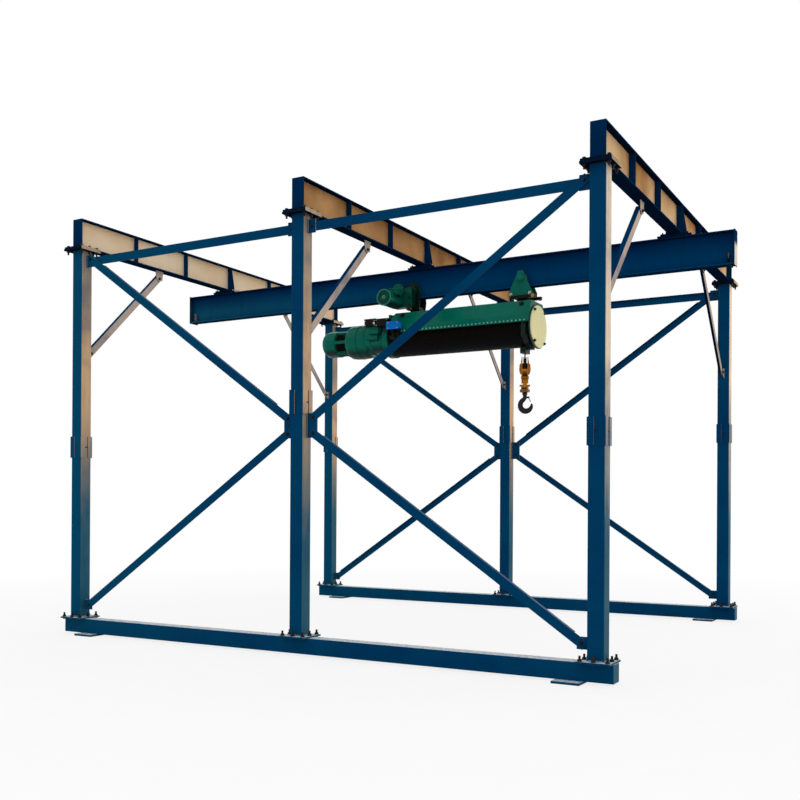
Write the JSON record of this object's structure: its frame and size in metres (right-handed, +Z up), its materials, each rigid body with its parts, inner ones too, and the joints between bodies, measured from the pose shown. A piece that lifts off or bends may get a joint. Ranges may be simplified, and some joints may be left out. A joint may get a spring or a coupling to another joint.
{
  "type": "gantry crane",
  "caption": "Free-standing blue steel gantry: columns on base beams, braced sides, cross beams and a runway beam with a travelling green wire-rope hoist, hook block and hook.",
  "frame": {"origin": "On the ground, at the middle of the gantry's footprint.", "axes": "+X along the runway beam, towards the end where the hook hangs; +Z up; -Y is the side whose trolley motor stands out."},
  "size_m": [8.85, 6.57, 5.666],
  "materials": {
    "frame_paint": "glossy blue paint, a little dusty",
    "hoist_paint": "semi-gloss green paint",
    "cover_paint": "pale paint",
    "box_plastic": "black housing",
    "switch_plastic": "bright blue cover",
    "rope_steel": "greased wire rope",
    "guide_iron": "dark green iron",
    "drum_steel": "greased rope on the drum",
    "block_paint": "ochre paint",
    "sheave_iron": "dark iron",
    "hook_iron": "black forged steel",
    "latch_steel": "bare steel",
    "wheel_steel": "dark steel"
  },
  "bodies": {
    "frame": {"foot_pads": "frame_paint", "near_base_beam": "frame_paint", "far_base_beam": "frame_paint", "base_plates": "frame_paint", "cap_plates": "frame_paint", "splice_angles": "frame_paint", "side_gussets": "frame_paint", "near_left_column": "frame_paint", "near_mid_column": "frame_paint", "near_right_column": "frame_paint", "far_left_column": "frame_paint", "far_mid_column": "frame_paint", "far_right_column": "frame_paint", "near_top_struts": "frame_paint", "far_top_struts": "frame_paint", "near_left_upper_brace": "frame_paint", "near_left_lower_brace": "frame_paint", "near_right_upper_brace": "frame_paint", "near_right_lower_brace": "frame_paint", "far_left_upper_brace": "frame_paint", "far_left_lower_brace": "frame_paint", "far_right_upper_brace": "frame_paint", "far_right_lower_brace": "frame_paint", "left_cross_beam": "frame_paint", "mid_cross_beam": "frame_paint", "right_cross_beam": "frame_paint", "left_knee_braces": "frame_paint", "mid_knee_braces": "frame_paint", "right_knee_braces": "frame_paint", "runway_beam": "frame_paint", "runway_hangers": "frame_paint"},
    "hoist": {"hoist_shell": "hoist_paint", "drum_end_cover": "cover_paint", "lifting_motor": "hoist_paint", "reducer_housing": "hoist_paint", "control_box": "box_plastic", "limit_switch_cover": "switch_plastic", "driving_trolley": "hoist_paint", "idle_trolley": "hoist_paint", "trolley_motor": "hoist_paint", "rope_guide": "guide_iron", "rope_falls": "rope_steel"},
    "drum": {"rope_drum": "drum_steel"},
    "block": {"hook_block": "block_paint", "rope_sheave": "sheave_iron", "hook_crosshead": "block_paint"},
    "hook": {"load_hook": "hook_iron"},
    "latch": {"hook_latch": "latch_steel"},
    "driving_wheel_near": {"driving_wheel_near": "wheel_steel"},
    "driving_wheel_far": {"driving_wheel_far": "wheel_steel"},
    "idle_wheel_near": {"idle_wheel_near": "wheel_steel"},
    "idle_wheel_far": {"idle_wheel_far": "wheel_steel"}
  },
  "joints": [
    {"name": "trolley_travel", "type": "slide", "parent": "frame", "child": "hoist", "axis": [1, 0, 0], "range_m": [-2.4, 2.4]},
    {"name": "hook_lift", "type": "slide", "parent": "hoist", "child": "block", "axis": [0, 0, -1], "range_m": [0, 2.8], "deforming": ["rope_falls"]},
    {"name": "drum_turn", "type": "hinge", "parent": "hoist", "child": "drum", "pos_m": [0.5, 0, 4.25], "axis": [1, 0, 0], "continuous": true},
    {"name": "hook_swivel", "type": "hinge", "parent": "block", "child": "hook", "pos_m": [1.6, 0, 3.377], "axis": [0, 0, 1], "continuous": true},
    {"name": "latch_swing", "type": "hinge", "parent": "hook", "child": "latch", "pos_m": [1.654, 0, 3.284], "axis": [0, 1, 0], "range_deg": [0, 39], "stiffness_Nm_per_rad": 0.3},
    {"name": "driving_wheel_turn_near", "type": "hinge", "parent": "hoist", "child": "driving_wheel_near", "pos_m": [-0.13, -0.043, 4.9188], "axis": [0, 1, 0], "continuous": true},
    {"name": "driving_wheel_turn_far", "type": "hinge", "parent": "hoist", "child": "driving_wheel_far", "pos_m": [-0.13, 0.043, 4.9188], "axis": [0, 1, 0], "continuous": true},
    {"name": "idle_wheel_turn_near", "type": "hinge", "parent": "hoist", "child": "idle_wheel_near", "pos_m": [1.565, -0.043, 4.9188], "axis": [0, 1, 0], "continuous": true},
    {"name": "idle_wheel_turn_far", "type": "hinge", "parent": "hoist", "child": "idle_wheel_far", "pos_m": [1.565, 0.043, 4.9188], "axis": [0, 1, 0], "continuous": true}
  ],
  "couplings": [
    {"joint": "drum_turn", "follows": "hook_lift", "rad_per_m": 7.4906},
    {"joint": "driving_wheel_turn_near", "follows": "trolley_travel", "rad_per_m": 11.111},
    {"joint": "driving_wheel_turn_far", "follows": "trolley_travel", "rad_per_m": 11.111},
    {"joint": "idle_wheel_turn_near", "follows": "trolley_travel", "rad_per_m": 11.111},
    {"joint": "idle_wheel_turn_far", "follows": "trolley_travel", "rad_per_m": 11.111}
  ]
}
